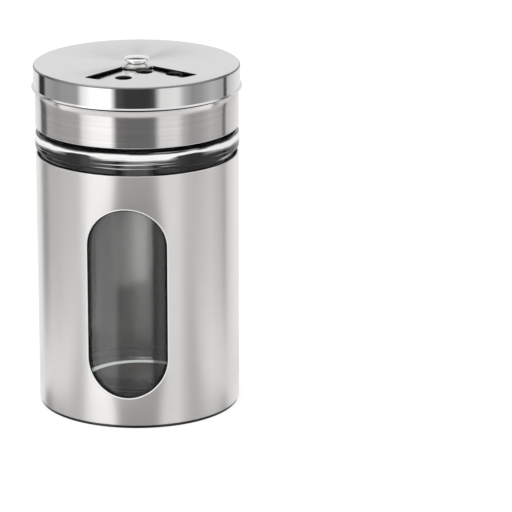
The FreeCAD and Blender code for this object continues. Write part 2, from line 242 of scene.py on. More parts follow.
def cut(piece, cutters, materials):
    """Cuts the cutters out of the piece and removes them; the cut faces take the second material."""
    for holder in [piece] + cutters:
        for material in materials:
            holder.data.materials.append(material)
    for cutter in cutters:
        knife = piece.modifiers.new("cut", "BOOLEAN")
        knife.operation = "DIFFERENCE"
        knife.solver = "EXACT"
        knife.object = cutter
    applied(piece)
    for cutter in cutters:
        bpy.data.objects.remove(cutter)


def soften(piece, width):
    """Rounds the sharp edges left by a cut."""
    bevel = piece.modifiers.new("edge", "BEVEL")
    bevel.width = width
    bevel.segments = BEVEL_STEPS
    bevel.limit_method = "ANGLE"
    bevel.angle_limit = SHARP_ANGLE
    applied(piece)


def settle(piece, body, node):
    """Smooth, area-weighted shading, then the piece takes its node's place on its body."""
    piece.data.shade_smooth()
    weight = piece.modifiers.new("shading", "WEIGHTED_NORMAL")
    weight.keep_sharp = True
    applied(piece)
    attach(piece, body)
    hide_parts(node)


def ring_points(radius, middle):
    """A round outline."""
    points = []
    for number in range(HOLE_STEPS):
        angle = TURN * number / HOLE_STEPS
        points.append((middle[0] + radius * math.cos(angle), middle[1] + radius * math.sin(angle)))
    return points


def on_circle(radius, angle):
    """A point at a radius and an angle."""
    return (radius * math.cos(angle), radius * math.sin(angle))


# Brushed steel: lines around the axis, wider bands, clouds, and how much its roughness varies
GRAIN_ALONG = 1.6
GRAIN_LINES = 7000.0
BAND_ALONG = 0.7
BAND_LINES = GRAIN_LINES / 3
CLOUD_SCALE = 55.0
CLOUD_SHARE = 0.3
ROUGH_SPREAD = 0.12
GRAIN_DEPTH = 0.02 * MM
BRUSH_TURN = 0.25

# Painted sheen: brightness painted on a turned top around its middle, by degrees from +X, and the radii where
# it fades
PAINTED_RAYS = [
    (-180, 1.0), (-150, 0.98), (-135, 0.82), (-120, 0.94), (-100, 1.0), (-75, 0.95), (-60, 1.0), (0, 1.0),
    (28, 0.93), (42, 0.82), (58, 0.72), (70, 0.90), (78, 0.92), (90, 0.76), (102, 0.90), (135, 0.86),
    (152, 0.94), (165, 1.0), (180, 1.0),
]
PAINTED_RAYS_FADE = (29 * MM, 14 * MM)

# Glass
GLASS_IOR = 1.5
GLASS_TINT = (0.975, 0.98, 0.97, 1)
MOULD_WAVE = (90.0, 0.04, 0.2 * MM)
PAINTED_ROUGHNESS = 0.03
PAINTED_LIGHT_TINT = 0.985
# Noise that makes the painted light and shade uneven: its scale and the spread of their strength
UNEVEN_SCALE = 40.0
UNEVEN_SPREAD = (0.9, 1.05)

# Light and shade painted into the glass by height: height in millimetres, brightness and strength
GLASS_HIGH = 104 * MM
GLASS_PAINTED_LIGHT = [
    (0, 0.85, 0.045), (78.0, 0.85, 0.045), (79.2, 0.004, 0.9), (80.6, 0.004, 0.9), (81.5, 0.03, 0.75),
    (82.6, 0.01, 0.85), (84.0, 0.01, 0.9), (84.2, 0.8, 0.9), (84.4, 1.0, 0.95), (85.8, 1.0, 0.95),
    (86.1, 0.02, 0.9), (87.8, 0.004, 0.9), (88.6, 0.3, 0.05), (104, 0.3, 0.05),
]

# The painted highlight ring on the bead: its lower edge, the softness of that edge, its waviness and where
# that starts; below it a painted shade
RING_LOW = 84.2 * MM
RING_SOFT = MM / 10
RING_WAVE = 0.3 * MM
RING_SWIRL = (2.2, 60.0)
RING_PAINTED_SHADE = (0.02, 0.02, 0.02, 1)
WAVED_ABOVE = (76 * MM, 78 * MM)
# How far the painted ring's lower edge stands up beside the front, in millimetres by degrees
RING_RISE = [
    (-180, 0.0), (-70, 0.0), (-50, 0.5), (-36, 1.2), (-27, 1.1), (-17, 0.15), (-8, 0.0), (10, 0.0),
    (18, 0.15), (25, 1.0), (36, 1.2), (50, 0.5), (70, 0.0), (180, 0.0),
]
# The painted lighter middle below the ring, by degrees from the front, and its upper edge
GLASS_MIDDLE = [(-180, 0.0), (-9, 0.0), (-4, 0.13), (7, 0.13), (12, 0.0), (180, 0.0)]
MIDDLE_EDGE = MM / 2
# Painted fine glints: noise along and across, the part of it that shines, and how much
GLINT_LINES = (1.4, 3200.0)
GLINT_RANGE = (0.62, 0.68)
GLINT_LEVEL = 0.8

# Painted highlight on the edge of the jar's inner floor, which also glows: inner and outer radius, softness
# and highest place
FLOOR_LINE = (16.9 * MM, 18.7 * MM, 0.4 * MM, 8 * MM)
LINE_FRONT = 6 * MM
LINE_FAINT = 0.12
LINE_GLOW = 0.5
LINE_COLOUR = (0.95, 1.0, 0.96, 1)

# The painted pale reflection high in the window, by degrees from the front, its lower edge and how ragged
# that is
BLOOM = [(-180, 0.0), (-16, 0.0), (-10, 0.12), (0, 0.17), (5, 0.17), (9, 0.0), (180, 0.0)]
BLOOM_EDGE = (43 * MM, 50 * MM)
BLOOM_RAGGED = 4 * MM

# The painted dark upright bands of shade at the window's sides, by degrees from the front, and where they end
DIM = [
    (-180, 0.0), (-40, 0.0), (-34, 0.35), (-28, 0.35), (-26.5, 0.0), (9.5, 0.0), (11.5, 0.5), (20, 0.5),
    (24, 0.0), (180, 0.0),
]
DIM_EDGE = (78 * MM, 76 * MM)
DIM_COLOUR = (0.01, 0.012, 0.01, 1)


def add(tree, kind, links=(), **settings):
    """A node with its settings; links are (input, socket or value)."""
    made = tree.nodes.new(kind)
    for key, value in settings.items():
        setattr(made, key, value)
    for key, value in links:
        if isinstance(value, bpy.types.NodeSocket):
            tree.links.new(value, made.inputs[key])
        else:
            made.inputs[key].default_value = value
    return made


def new_material(name):
    """An empty node material with its output, and its object coordinates."""
    material = bpy.data.materials.new(name)
    material.use_nodes = True
    tree = material.node_tree
    tree.nodes.clear()
    output = add(tree, "ShaderNodeOutputMaterial")
    coordinates = add(tree, "ShaderNodeTexCoord").outputs["Object"]
    return material, tree, output, coordinates


def around_coordinates(tree, coordinates, along, across):
    """Coordinates that run slowly around the axis and fast across it, with no seam."""
    x, y, z = add(tree, "ShaderNodeSeparateXYZ", [(0, coordinates)]).outputs
    flat = add(tree, "ShaderNodeCombineXYZ", [(0, x), (1, y)]).outputs[0]
    unit = add(tree, "ShaderNodeVectorMath", [(0, flat)], operation="NORMALIZE").outputs[0]
    slow = add(tree, "ShaderNodeVectorMath", [(0, unit), ("Scale", along)], operation="SCALE").outputs[0]
    fast = math_node(tree, "MULTIPLY", math_node(tree, "ADD", z, radius_of(tree, x, y)), across)
    lift = add(tree, "ShaderNodeCombineXYZ", [(2, fast)]).outputs[0]
    return add(tree, "ShaderNodeVectorMath", [(0, slow), (1, lift)], operation="ADD").outputs[0]


def math_node(tree, operation, first, second, **settings):
    """The result of a sum on two values."""
    return add(tree, "ShaderNodeMath", [(0, first), (1, second)], operation=operation, **settings).outputs[0]


def ramped(tree, value, low, high, **settings):
    """A value mapped from a range onto 0 to 1 and held at its ends."""
    return add(tree, "ShaderNodeMapRange", [("Value", value), ("From Min", low), ("From Max", high)],
               **settings).outputs[0]


def noise(tree, place, scale, detail):
    """Cloudy noise at a place."""
    return add(tree, "ShaderNodeTexNoise", [("Vector", place), ("Scale", scale),
                                            ("Detail", detail)]).outputs[0]


def spread(tree, value, low, high):
    """Maps a noise value to a range."""
    return add(tree, "ShaderNodeMapRange", [("Value", value), ("From Min", 0.3), ("From Max", 0.7),
                                            ("To Min", low), ("To Max", high)]).outputs["Result"]


def brushed_steel(name, tint, roughness, stretch, relief, haze=0.0, streaks=0.02, rays=False):
    """Steel brushed around the axis: fine lines, an even stretch of its reflections, faint clouding."""
    material, tree, output, coordinates = new_material(name)
    grain = noise(tree, around_coordinates(tree, coordinates, GRAIN_ALONG, GRAIN_LINES), 1.0, 3.0)
    cloud = noise(tree, coordinates, CLOUD_SCALE, 2.0)
    both = add(tree, "ShaderNodeMix", [("Factor", CLOUD_SHARE), ("A", grain), ("B", cloud)],
               data_type="FLOAT").outputs[0]
    rough = spread(tree, both, roughness * (1 - ROUGH_SPREAD), roughness * (1 + ROUGH_SPREAD))
    band = noise(tree, around_coordinates(tree, coordinates, BAND_ALONG, BAND_LINES), 1.0, 4.0)
    darker = [level * (1 - streaks) for level in tint] + [1]
    lighter = [min(1, level * (1 + streaks)) for level in tint] + [1]
    colour = add(tree, "ShaderNodeMix", [("Factor", band), ("A", darker), ("B", lighter)],
                 data_type="RGBA").outputs[2]
    # A painted sheen of darker rays on a turned top
    if rays:
        colour = sheen(tree, colour)
    bump = add(tree, "ShaderNodeBump", [("Strength", relief), ("Distance", GRAIN_DEPTH), ("Height", grain)])
    tangent = add(tree, "ShaderNodeTangent", direction_type="RADIAL", axis="Z")
    shader = add(tree, "ShaderNodeBsdfPrincipled", [
        ("Base Color", colour), ("Metallic", 1.0 - haze), ("Roughness", rough),
        ("Anisotropic", stretch), ("Anisotropic Rotation", BRUSH_TURN),
        ("Tangent", tangent.outputs[0]), ("Normal", bump.outputs[0])])
    tree.links.new(shader.outputs[0], output.inputs[0])
    return material


def sheen(tree, colour):
    """Painted reflection: darkens a turned top in soft rays, the wedges of a spun top's reflection, which
    stay with the studio's lights.
    """
    place = add(tree, "ShaderNodeNewGeometry").outputs[0]
    x, y = add(tree, "ShaderNodeSeparateXYZ", [(0, place)]).outputs[:2]
    strength = ramped(tree, radius_of(tree, x, y), *PAINTED_RAYS_FADE)
    ray = angle_ramp(tree, y, x, -180, 180, PAINTED_RAYS)
    return add(tree, "ShaderNodeMix", [("Factor", strength), ("A", colour), ("B", ray)],
               data_type="RGBA", blend_type="MULTIPLY").outputs[2]


def radius_of(tree, x, y):
    """How far a place is from the upright axis."""
    flat = add(tree, "ShaderNodeCombineXYZ", [(0, x), (1, y)])
    return add(tree, "ShaderNodeVectorMath", [(0, flat.outputs[0])], operation="LENGTH").outputs["Value"]


def polished_steel(name, tint):
    """Mirror-polished steel with faint wiping marks."""
    material, tree, output, coordinates = new_material(name)
    rough = spread(tree, noise(tree, coordinates, 900.0, 3.0), 0.05, 0.10)
    shader = add(tree, "ShaderNodeBsdfPrincipled", [
        ("Base Color", tint + (1,)), ("Metallic", 1.0), ("Roughness", rough)])
    tree.links.new(shader.outputs[0], output.inputs[0])
    return material


def clear_glass(name):
    """Soda glass, hardly wavy, with light and shade painted over it at its bead, its floor and the window."""
    material, tree, output, coordinates = new_material(name)
    scale, height, depth = MOULD_WAVE
    bump = add(tree, "ShaderNodeBump", [("Strength", height), ("Distance", depth),
                                        ("Height", noise(tree, coordinates, scale, 1.0))])
    clear = add(tree, "ShaderNodeBsdfPrincipled", [
        ("Base Color", GLASS_TINT), ("Roughness", 0.0), ("IOR", GLASS_IOR),
        ("Transmission Weight", 1.0), ("Normal", bump.outputs[0])])
    x, y, z = add(tree, "ShaderNodeSeparateXYZ", [(0, coordinates)]).outputs
    front = math_node(tree, "MULTIPLY", y, -1.0)
    high_up = ramped(tree, z, *WAVED_ABOVE)
    waved = waved_height(tree, coordinates, z, high_up)
    level, strength = painted_light_levels(tree, waved)
    tone = ring_tone(tree, glinting(tree, level, coordinates, x, front, z), x, front, waved, high_up)
    line = floor_line(tree, x, y, z)
    # The painted layer of light and shade, with the painted glow on the edge of the jar's floor
    painted_layer = add(tree, "ShaderNodeBsdfPrincipled", [
        ("Base Color", tone), ("Roughness", PAINTED_ROUGHNESS), ("IOR", GLASS_IOR),
        ("Emission Color", LINE_COLOUR), ("Emission Strength", math_node(tree, "MULTIPLY", line, LINE_GLOW))])
    cover = math_node(tree, "MAXIMUM", painted_light_cover(tree, strength, coordinates, x, front, z), line)
    painted_over = add(tree, "ShaderNodeMixShader", [(0, cover), (1, clear.outputs[0]), (2, painted_layer.outputs[0])])
    # Painted shade: the dark upright bands at the window's sides
    dim = math_node(tree, "MULTIPLY", angle_ramp(tree, x, front, -180, 180, DIM), ramped(tree, z, *DIM_EDGE))
    shade = add(tree, "ShaderNodeBsdfPrincipled", [("Base Color", DIM_COLOUR), ("Roughness", PAINTED_ROUGHNESS)])
    dimmed = add(tree, "ShaderNodeMixShader", [(0, dim), (1, painted_over.outputs[0]), (2, shade.outputs[0])])
    tree.links.new(dimmed.outputs[0], output.inputs[0])
    return material


def waved_height(tree, coordinates, z, high_up):
    """The height, made uneven around the bead."""
    swirl = noise(tree, around_coordinates(tree, coordinates, *RING_SWIRL), 1.0, 2.0)
    wave = math_node(tree, "MULTIPLY", spread(tree, swirl, -RING_WAVE, RING_WAVE), high_up)
    return math_node(tree, "ADD", z, wave)


def painted_light_levels(tree, height):
    """Brightness and strength of the light and shade painted at a height."""
    ramp = add(tree, "ShaderNodeValToRGB", [(0, ramped(tree, height, 0.0, GLASS_HIGH))])
    elements = ramp.color_ramp.elements
    while len(elements) > 1:
        elements.remove(elements[-1])
    for number, (millimetres, level, cover) in enumerate(GLASS_PAINTED_LIGHT):
        share = millimetres * MM / GLASS_HIGH
        stop = elements[0] if number == 0 else elements.new(share)
        stop.position = share
        stop.color = (level, level, level * PAINTED_LIGHT_TINT, cover)
    return ramp.outputs["Color"], ramp.outputs["Alpha"]


def glinting(tree, level, coordinates, x, front, z):
    """Adds the painted lighter middle below the ring and the painted fine glints."""
    middle = angle_ramp(tree, x, front, -180, 180, GLASS_MIDDLE)
    lighter = math_node(tree, "MULTIPLY", middle, ramped(tree, z, RING_LOW, RING_LOW - MIDDLE_EDGE))
    line = noise(tree, around_coordinates(tree, coordinates, *GLINT_LINES), 1.0, 1.0)
    low, high = GLINT_RANGE
    glint = add(tree, "ShaderNodeMapRange", [("Value", line), ("From Min", low), ("From Max", high),
                                             ("To Max", GLINT_LEVEL)]).outputs[0]
    extra = math_node(tree, "ADD", lighter, glint)
    return add(tree, "ShaderNodeMix", [("Factor", 1.0), ("A", level), ("B", extra)],
               data_type="RGBA", blend_type="ADD", clamp_result=True).outputs[2]


def ring_tone(tree, tone, x, front, waved, high_up):
    """Paints shade on the ring's lower part where its edge stands up."""
    rise = math_node(tree, "MULTIPLY", angle_ramp(tree, x, front, -180, 180, RING_RISE), MM)
    edge = ramped(tree, math_node(tree, "SUBTRACT", waved, rise), RING_LOW + RING_SOFT, RING_LOW - RING_SOFT)
    there = math_node(tree, "MULTIPLY", edge, high_up)
    amount = math_node(tree, "MULTIPLY", rise, 1 / MM)
    dark = math_node(tree, "MULTIPLY", there, amount, use_clamp=True)
    return add(tree, "ShaderNodeMix", [("Factor", dark), ("A", tone), ("B", RING_PAINTED_SHADE)],
               data_type="RGBA").outputs[2]


def painted_light_cover(tree, strength, coordinates, x, front, z):
    """How much of the clear glass the painted light and shade cover, with the painted pale patch in the
    window.
    """
    uneven = noise(tree, coordinates, UNEVEN_SCALE, 2.0)
    amount = math_node(tree, "MULTIPLY", strength, spread(tree, uneven, *UNEVEN_SPREAD))
    ragged = math_node(tree, "ADD", z, spread(tree, uneven, -BLOOM_RAGGED, BLOOM_RAGGED))
    raised = ramped(tree, ragged, *BLOOM_EDGE, interpolation_type="SMOOTHSTEP")
    bloom = math_node(tree, "MULTIPLY", angle_ramp(tree, x, front, -180, 180, BLOOM), raised)
    return math_node(tree, "MAXIMUM", amount, bloom)


def floor_line(tree, x, y, z):
    """Where a highlight and a glow are painted on the edge of the jar's inner floor, most of all behind."""
    inner, outer, soft, highest = FLOOR_LINE
    reach = radius_of(tree, x, y)
    around = math_node(tree, "MULTIPLY", ramped(tree, reach, inner - soft, inner),
                       ramped(tree, reach, outer + soft, outer))
    place = math_node(tree, "MULTIPLY", ramped(tree, z, highest, highest - MM),
                      ramped(tree, z, JAR_BASE - MM / 2, JAR_BASE))
    behind = add(tree, "ShaderNodeMapRange", [("Value", y), ("From Min", -LINE_FRONT),
                                              ("From Max", LINE_FRONT), ("To Min", LINE_FAINT)]).outputs[0]
    return math_node(tree, "MULTIPLY", math_node(tree, "MULTIPLY", around, place), behind)


def moulded_plastic(name, colour, roughness):
    """Moulded plastic with a fine eroded surface."""
    material, tree, output, coordinates = new_material(name)
    pits = noise(tree, coordinates, 1500.0, 2.0)
    rough = spread(tree, pits, roughness - 0.06, roughness + 0.06)
    bump = add(tree, "ShaderNodeBump", [("Strength", 0.1), ("Distance", 0.05 * MM), ("Height", pits)])
    shader = add(tree, "ShaderNodeBsdfPrincipled", [
        ("Base Color", colour + (1,)), ("Roughness", rough), ("Normal", bump.outputs[0])])
    tree.links.new(shader.outputs[0], output.inputs[0])
    return material


# Pieces
def make_base_plate():
    """Stamped bottom dish; its rolled rim shows under the sleeve."""
    low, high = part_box("base_plate")
    rim = high.x
    cup = rim - 0.3 * MM
    wall = 0.6 * MM
    ring = rim - 4.75 * MM
    step = 0.4 * MM
    rim_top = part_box("outer_sleeve")[0].z
    section = rounded([
        (0, low.z + step), (ring, low.z + step, BEND), (ring + step, low.z, BEND),
        (rim, low.z, BEND), (rim, rim_top, 0.1 * MM), (cup, rim_top, EDGE / 4),
        (cup, high.z, EDGE), (cup - wall, high.z, EDGE), (cup - wall, low.z + wall, INNER_BEND),
        (ring + step, low.z + wall, BEND), (ring, low.z + wall + step, BEND),
        (0, low.z + wall + step)], closed=False)
    return turned("base_dish", section, closed=False)


def make_sleeve(materials):
    """Steel tube with a turned-in lower edge, a deburred upper edge and the oval window."""
    low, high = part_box("outer_sleeve")
    radius = high.x
    section = rounded([
        (radius - SHEET, low.z, EDGE / 2), (radius, low.z, 0.42 * MM),
        (radius, high.z, 0.2 * MM), (radius - SHEET, high.z, 0.2 * MM)])
    sleeve = turned("sleeve_tube", section)
    cutter = prism("oval", window_outline(), radius / 2, radius * 1.2)
    cutter.data.transform(upright_facing(VIEW_TURN))
    cut(sleeve, [cutter], materials)
    return sleeve


def window_outline():
    """The oval, as X and Z before it is turned to its place."""
    low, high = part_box("outer_sleeve")
    half = VIEW_WIDTH / 2
    head = high.z - VIEW_HEAD - half
    sill = low.z + VIEW_SILL + half
    outline = []
    for middle, start in ((head, 0), (sill, math.pi)):
        for number in range(WINDOW_STEPS + 1):
            angle = start + math.pi * number / WINDOW_STEPS
            outline.append((half * math.cos(angle), middle + half * math.sin(angle)))
    straight = round((head - sill) / RING_STEP / 4)
    left = [(-half, head + (sill - head) * n / straight) for n in range(1, straight)]
    right = [(half, sill + (head - sill) * n / straight) for n in range(1, straight)]
    return outline[:WINDOW_STEPS + 1] + left + outline[WINDOW_STEPS + 1:] + right


def make_window_line(name, inset, depth, half):
    """A fine bead that follows the window round the tube, set in from its edge and below the surface."""
    low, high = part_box("outer_sleeve")
    middle = high.x - depth
    outline = window_outline()
    mesh = bmesh.new()
    rings = []
    for number, (across, height) in enumerate(outline):
        ahead = Vector(outline[(number + 1) % len(outline)]) - Vector(outline[number - 1])
        side = Vector((ahead.y, -ahead.x)).normalized()
        ring = []
        for step in range(RIM_SIDES):
            angle = TURN * step / RIM_SIDES
            place = Vector((across, height)) + side * (half * math.cos(angle) - inset)
            reach = math.sqrt((middle + half * math.sin(angle)) ** 2 - place.x ** 2)
            ring.append(mesh.verts.new((place.x, -reach, place.y)))
        rings.append(ring)
    for number, ring in enumerate(rings):
        after = rings[(number + 1) % len(rings)]
        for step in range(RIM_SIDES):
            far = (step + 1) % RIM_SIDES
            mesh.faces.new([ring[step], after[step], after[far], ring[far]])
    rim = finished_mesh(name, mesh)
    rim.data.transform(Matrix.Rotation(VIEW_TURN, 4, "Z"))
    return rim


def upright_facing(turn):
    """Stands a prism's outline up in X and Z and points its depth to the front, then turns it."""
    stand = Matrix(((1, 0, 0, 0), (0, 0, -1, 0), (0, 1, 0, 0), (0, 0, 0, 1)))
    return Matrix.Rotation(turn, 4, "Z") @ stand


def thread_height(angle, height, start):
    """How high a thread's ridge stands at a place, from 0 to 1."""
    best = 0
    for lap in range(math.ceil(THREAD_TURNS)):
        along = angle / TURN + lap
        if along > THREAD_TURNS:
            continue
        away = abs(height - start - LEAD * along) / THREAD_HALF
        fade = min(1, along / THREAD_FADE, (THREAD_TURNS - along) / THREAD_FADE)
        ridge = min(1, THREAD_FULLNESS * max(0, math.cos(min(1, away) * math.pi / 2)))
        best = max(best, ridge * fade)
    return best


def make_jar():
    """Jar with a thick floor, the bead over the sleeve and a threaded neck."""
    low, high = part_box("glass_jar")
    bead = high.x
    bead_top = BEAD_LOW + BEAD_HEIGHT
    bore = JAR_RADIUS - JAR_WALL
    neck_bore = NECK_RADIUS - NECK_WALL
    neck_low = (NECK_RADIUS, bead_top + NECK_FOOT)
    neck_high = (NECK_RADIUS, high.z - MM)
    outside = rounded([
        (0, low.z), (JAR_RADIUS, low.z, JAR_HEEL), (JAR_RADIUS, BEAD_LOW, INNER_BEND),
        (bead, BEAD_LOW, BEAD_ROUND), (bead, bead_top, BEAD_ROUND), (NECK_RADIUS, bead_top, NECK_FOOT),
        neck_low], closed=False)
    inside = rounded([
        neck_high, (NECK_RADIUS, high.z, MM), (neck_bore, high.z, MM),
        (neck_bore, bead_top - MM, SHOULDER_ROUND), (bore, bead_top - MM - SHOULDER_ROUND, SHOULDER_ROUND),
        (bore, low.z + JAR_BASE, FLOOR_ROUND), (0, low.z + JAR_BASE)], closed=False)
    neck = divided(neck_low, neck_high, RING_STEP)

    def relief(angle, radius, height):
        if abs(radius - NECK_RADIUS) > EDGE / 100 or not neck_low[1] < height < neck_high[1]:
            return 0
        return THREAD_DEPTH * thread_height(angle, height, THREAD_START)

    return turned("jar_glass_body", outside + neck + inside, closed=False, relief=relief)


def make_liner():
    """Moulded insert with the matching thread inside."""
    low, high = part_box("thread_liner")
    collar = high.x
    drum = 29.95 * MM
    slope = 1.2 * MM
    bore = 27.7 * MM
    collar_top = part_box("lid_shell")[0].z + SHOULDER_TOP - SHOULDER_HEIGHT - SHEET
    flange = high.z - 1.4 * MM
    flange_bore = NECK_RADIUS - NECK_WALL + 0.8 * MM
    bore_high = (bore, flange - 0.3 * MM)
    bore_low = (bore, low.z + 0.8 * MM)
    section = rounded([
        (bore + 0.8 * MM, low.z, EDGE), (collar, low.z, MOULD_EDGE), (collar, collar_top, MOULD_EDGE),
        (drum, collar_top, EDGE), (drum, high.z - slope, MOULD_EDGE), (drum - slope, high.z, MOULD_EDGE),
        (flange_bore, high.z, MOULD_EDGE), (flange_bore, flange, MOULD_EDGE), (bore, flange)], closed=False)
    section += [bore_high] + divided(bore_high, bore_low, RING_STEP) + [bore_low]

    def relief(angle, radius, height):
        if abs(radius - bore) > EDGE / 100 or not bore_low[1] < height < bore_high[1]:
            return 0
        return -THREAD_DEPTH * thread_height(angle, height, THREAD_START - LEAD / 2)

    return turned("liner_moulding", section, relief=relief)


def make_lid(materials):
    """Drawn cap: skirt, rounded shoulder, drum and perforated deck."""
    low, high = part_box("lid_shell")
    skirt = high.x
    inner = skirt - SHEET
    bore = DRUM_RADIUS - SHEET
    top = low.z + SHOULDER_TOP
    step = skirt - DRUM_RADIUS
    bend = (SHOULDER_HEIGHT ** 2 + step ** 2) / (2 * step)
    sweep = math.asin(SHOULDER_HEIGHT / bend)
    shoulder = arc((skirt - bend, top - SHOULDER_HEIGHT), bend, 0, sweep)
    section = rounded([
        (DRUM_RADIUS, top + 0.3 * MM), (DRUM_RADIUS, high.z, DRUM_ROUND), (DECK_EDGE, high.z, MM),
        (CROWN_FOOT, high.z + CROWN, INNER_BEND), (CROWN_SEAT, high.z, INNER_BEND), (PIVOT_BORE, high.z),
        (PIVOT_BORE, high.z - SHEET), (bore, high.z - SHEET, DRUM_ROUND - SHEET),
        (bore, top - SHEET, INNER_BEND), (inner, top - SHOULDER_HEIGHT - SHEET, INNER_BEND),
        (inner, low.z, 0.1 * MM), (skirt, low.z, 0.22 * MM), (skirt, top - 2 * SHOULDER_HEIGHT)],
        closed=False)
    lid = turned("lid_cap", section + shoulder)
    cutters = []
    for middle, apart, ring, inner_ring, size in (LARGE_HOLES, SMALL_HOLES):
        places = [on_circle(ring, middle - apart), on_circle(inner_ring, middle),
                  on_circle(ring, middle + apart)]
        for place in places:
            cutters.append(prism("hole", ring_points(size, place), high.z - 3 * SHEET, high.z + SHEET))
    cut(lid, cutters, materials)
    soften(lid, 1.5 * EDGE)
    # Painted shade on the shoulder's top and the drum wall under the dial, and on the undersides; painted
    # highlight on the skirt's lower lip
    for face in lid.data.polygons:
        reach = face.center.xy.length
        if face.material_index == CUT_FACES:
            continue
        if top - 0.2 * MM < face.center.z < high.z - DRUM_ROUND or reach < bore and face.normal.z < -0.5:
            face.material_index = PAINTED_SHADE_FACES
        elif face.center.z > high.z - DRUM_ROUND:
            face.material_index = DECK_FACES
        elif face.center.z < low.z + LIP and reach > skirt - LIP and face.normal.z < -0.1:
            face.material_index = LIP_FACES
    return lid


def fan_outline():
    """Outline of the dial's opening, a ring sector with rounded corners."""
    near = FAN_MIDDLE - FAN_ANGLE / 2
    far = FAN_MIDDLE + FAN_ANGLE / 2
    points = []
    for radius, start, end in ((FAN_OUTER, near, far), (FAN_INNER, far, near)):
        inset = FAN_ROUND * (1 if radius == FAN_OUTER else -1)
        lean = math.asin(FAN_ROUND / (radius - inset)) * (1 if end > start else -1)
        for side, angle in (("first", start + lean), ("last", end - lean)):
            centre = Vector(on_circle(radius - inset, angle))
            outward = angle if radius == FAN_OUTER else angle + math.pi
            turn_in = -math.pi / 2 if side == "first" else 0
            if side == "last":
                steps = [angle_on_arc(start + lean, end - lean, n / FAN_STEPS) for n in range(1, FAN_STEPS)]
                points += [on_circle(radius, step) for step in steps]
            for number in range(FAN_CORNER_STEPS + 1):
                place = outward + turn_in + math.pi / 2 * number / FAN_CORNER_STEPS
                step = on_circle(FAN_ROUND, place)
                points.append((centre.x + step[0], centre.y + step[1]))
    return points


def angle_on_arc(start, end, share):
    """An angle part of the way along an arc."""
    return start + (end - start) * share


def make_dial(materials):
    """Drawn dial: rolled bead, straight wall, spun top with a raised boss and the fan opening."""
    low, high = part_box("rotating_cover")
    top = high.z - BOSS_RISE
    bead = high.x
    bore = DIAL_RADIUS - SHEET
    section = rounded([
        (PIVOT_BORE, high.z - SHEET, EDGE / 2), (BOSS_FLAT - 0.1 * MM, high.z - SHEET, 0.8 * MM),
        (BOSS_FOOT - 0.25 * MM, top - SHEET, 0.5 * MM), (bore, top - SHEET, DIAL_ROUND - SHEET),
        (bore, low.z, 0.2 * MM), (bead, low.z, BEAD_ROLL / 2), (bead, low.z + BEAD_ROLL, BEAD_ROLL / 2),
        (DIAL_RADIUS, low.z + BEAD_ROLL, 0.2 * MM), (DIAL_RADIUS, top, DIAL_ROUND),
        (BOSS_FOOT, top, 0.45 * MM), (BOSS_FLAT, high.z, 0.8 * MM), (PIVOT_BORE, high.z, EDGE / 2)])
    dial = turned("dial_cup", section)
    cut(dial, [prism("fan", fan_outline(), top - 2 * SHEET, top + SHEET)], materials)
    soften(dial, EDGE)
    # Painted shade on the fan's outer and side edges, the inside and the undersides; painted light on the
    # boss's flank; painted dark reflection on the rounding of the top edge
    for face in dial.data.polygons:
        reach = face.center.xy.length
        inside = reach < bore + EDGE and face.center.z < top - SHEET + EDGE
        if face.material_index == CUT_FACES:
            if reach > FAN_INNER + 0.3 * MM:
                face.material_index = PAINTED_SHADE_FACES
        elif inside or face.normal.z < -0.7:
            face.material_index = PAINTED_SHADE_FACES
        elif BOSS_FLAT - 0.6 * MM < reach < BOSS_FOOT + 0.6 * MM and 0 < face.normal.z < 0.99:
            face.material_index = LIP_FACES
        elif reach > DIAL_RADIUS - DIAL_ROUND and face.center.z > top - DIAL_ROUND and face.normal.z < 0.85:
            face.material_index = DECK_FACES
    return dial


def make_rivet():
    """Domed button, plain shank and the end peened over the back washer."""
    low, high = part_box("pivot_rivet")
    head = high.x
    crest = high.z
    dome = 0.42 * MM
    rim = crest - dome
    seat = high.z - 2.0 * MM
    shank = 1.5 * MM
    peen = shank + 1.1 * MM
    peen_top = low.z + 0.9 * MM
    flat = head - 0.5 * MM
    bend = (flat ** 2 + dome ** 2) / (2 * dome)
    reach = math.asin(flat / bend)
    cap = arc((0, crest - bend), bend, math.pi / 2 - reach, math.pi / 2)
    cap[-1] = (0, crest)
    peen_bend = (peen ** 2 + (peen_top - low.z) ** 2) / (2 * (peen_top - low.z))
    peen_reach = math.asin(peen / peen_bend)
    foot = arc((0, low.z + peen_bend), peen_bend, -math.pi / 2, -math.pi / 2 + peen_reach)
    foot[0] = (0, low.z)
    body = rounded([
        foot[-1], (shank, peen_top, EDGE / 2), (shank, seat, EDGE), (head - 1.1 * MM, seat, 0.2 * MM),
        (head, seat + 0.95 * MM, 0.5 * MM), (head, rim - 0.2 * MM, 0.4 * MM), cap[0]], closed=False)
    return turned("rivet_button", foot[:-1] + body[:-1] + cap, closed=False)


